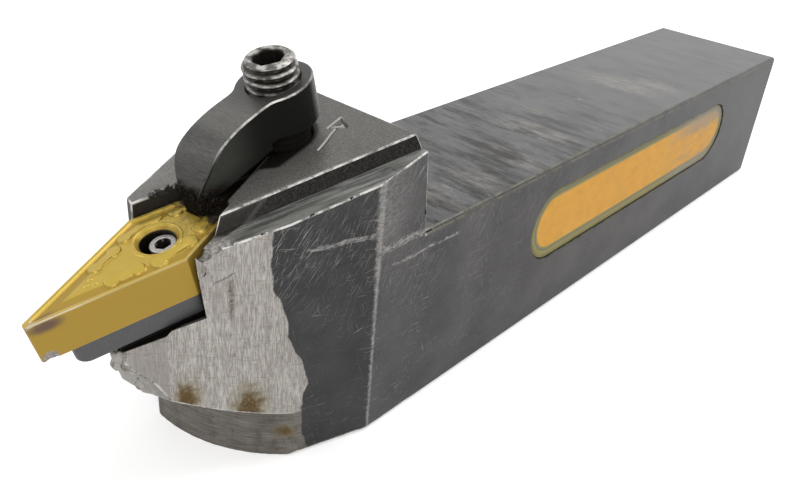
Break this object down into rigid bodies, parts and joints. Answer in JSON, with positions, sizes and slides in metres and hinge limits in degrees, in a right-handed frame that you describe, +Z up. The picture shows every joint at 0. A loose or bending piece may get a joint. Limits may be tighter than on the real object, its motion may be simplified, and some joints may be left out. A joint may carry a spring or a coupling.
{
  "type": "turning tool holder",
  "caption": "Square-shank holder for lathe turning: a slender rhombic cutting insert sits in a sloping pocket at the tip, held by an eccentric pin and a finger clamp.",
  "frame": {"origin": "centre of the bounding box's bottom face, on the flat underside that the holder rests on", "axes": "+X along the shank towards the cutting tip, +Y to the side with the label, +Z up"},
  "size_m": [0.1524, 0.0254, 0.0453],
  "materials": {
    "holder_steel": "black oxide on steel, scratched, with worn edges and a bare ground area on the nose",
    "shim_carbide": "ground sintered carbide, dull grey",
    "insert_coating": "gold-coloured hard coating on sintered carbide",
    "pin_steel": "turned steel",
    "clamp_steel": "dark satin black oxide with bright worn edges",
    "screw_steel": "steel thread, bright crests and dark oily grooves",
    "label_paint": "orange and olive label, satin, rubbed through at one end"
  },
  "bodies": {
    "holder": {"holder_body": "holder_steel", "shim": "shim_carbide", "insert": "insert_coating", "side_label": "label_paint"},
    "lock_pin": {"lock_pin": "pin_steel"},
    "clamp": {"clamp": "clamp_steel"},
    "clamp_screw": {"clamp_screw": "screw_steel"}
  },
  "joints": [
    {"name": "lock_pin_turn", "type": "hinge", "parent": "holder", "child": "lock_pin", "pos_m": [0.06177, 0, 0.02917], "axis": [0.2504, 0, 0.9681], "range_deg": [0, 180]},
    {"name": "clamp_screw_turn", "type": "hinge", "parent": "holder", "child": "clamp_screw", "pos_m": [0.04341, -0.0014, 0.03391], "axis": [0.2504, 0, 0.9681], "range_deg": [0, 530]},
    {"name": "clamp_lift", "type": "slide", "parent": "holder", "child": "clamp", "axis": [0.2504, 0, 0.9681], "range_m": [0, 0.003]}
  ],
  "couplings": [
    {"joint": "clamp_lift", "follows": "clamp_screw_turn", "m_per_rad": 0.00031831}
  ]
}
